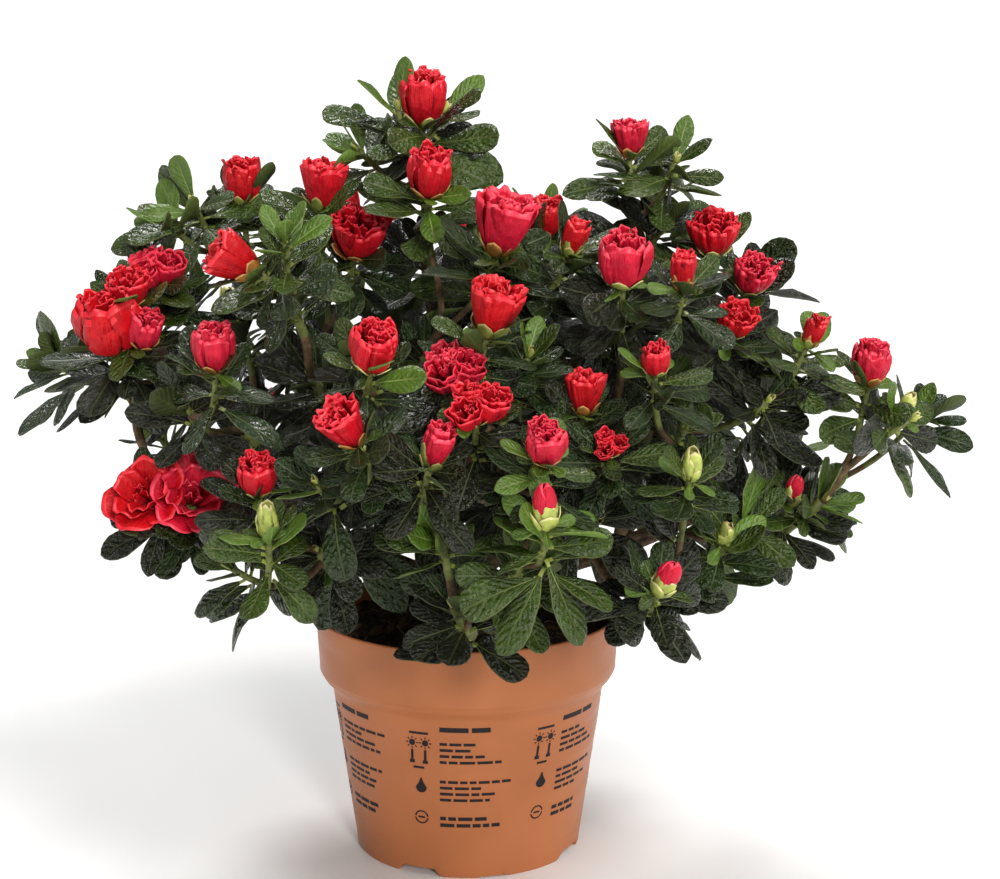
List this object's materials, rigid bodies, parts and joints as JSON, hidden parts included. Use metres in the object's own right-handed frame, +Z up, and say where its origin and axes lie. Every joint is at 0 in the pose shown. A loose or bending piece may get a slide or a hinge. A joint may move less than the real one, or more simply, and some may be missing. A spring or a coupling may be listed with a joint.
{
  "type": "potted azalea",
  "caption": "Potted azalea shrub: a short forking trunk, tapering boughs, a full crown in foliage masses, soil, and a tapered plastic pot with a collar and notched feet.",
  "frame": {"origin": "on the pot's axis, at the level its feet stand on, which is the bottom centre of the whole plant's box", "axes": "+Z up along the pot's axis; +X to the plant's right across the crown's widest spread; -Y to the plant's front"},
  "size_m": [0.4497, 0.3715, 0.3697],
  "materials": {
    "pot_plastic": "satin",
    "soil": "matte",
    "bark": "matte",
    "foliage": "satin",
    "petals": "matte",
    "buds": "matte",
    "print": "matte"
  },
  "bodies": {
    "root": {"pot": "pot_plastic", "soil": "soil", "trunk": "bark", "bough_back_high": "bark", "bough_back_left": "bark", "bough_back_low": "bark", "bough_back_right": "bark", "bough_front_left": "bark", "bough_front_low": "bark", "bough_front_right": "bark", "bough_left_high": "bark", "bough_left_low": "bark", "bough_left_out": "bark", "bough_right_high": "bark", "bough_right_low": "bark", "bough_right_out": "bark", "bough_top": "bark", "foliage_back_high_left": "foliage", "foliage_back_high_right": "foliage", "foliage_back_low": "foliage", "foliage_back_low_left": "foliage", "foliage_back_low_right": "foliage", "foliage_back_mid": "foliage", "foliage_back_mid_left": "foliage", "foliage_back_mid_right": "foliage", "foliage_front_foot": "foliage", "foliage_front_high": "foliage", "foliage_front_low": "foliage", "foliage_front_low_left": "foliage", "foliage_front_mid": "foliage", "foliage_front_mid_left": "foliage", "foliage_front_right": "foliage", "foliage_front_right_low": "foliage", "foliage_high_middle": "foliage", "foliage_left_high": "foliage", "foliage_left_high_back": "foliage", "foliage_left_high_front": "foliage", "foliage_left_low": "foliage", "foliage_left_low_back": "foliage", "foliage_left_low_front": "foliage", "foliage_left_mid": "foliage", "foliage_left_mid_front": "foliage", "foliage_left_out": "foliage", "foliage_right_front_high": "foliage", "foliage_right_high": "foliage", "foliage_right_high_out": "foliage", "foliage_right_low": "foliage", "foliage_right_low_back": "foliage", "foliage_right_low_front": "foliage", "foliage_right_mid_back": "foliage", "foliage_right_mid_front": "foliage", "foliage_right_out": "foliage", "foliage_top": "foliage", "foliage_top_front": "foliage"}
  },
  "joints": []
}
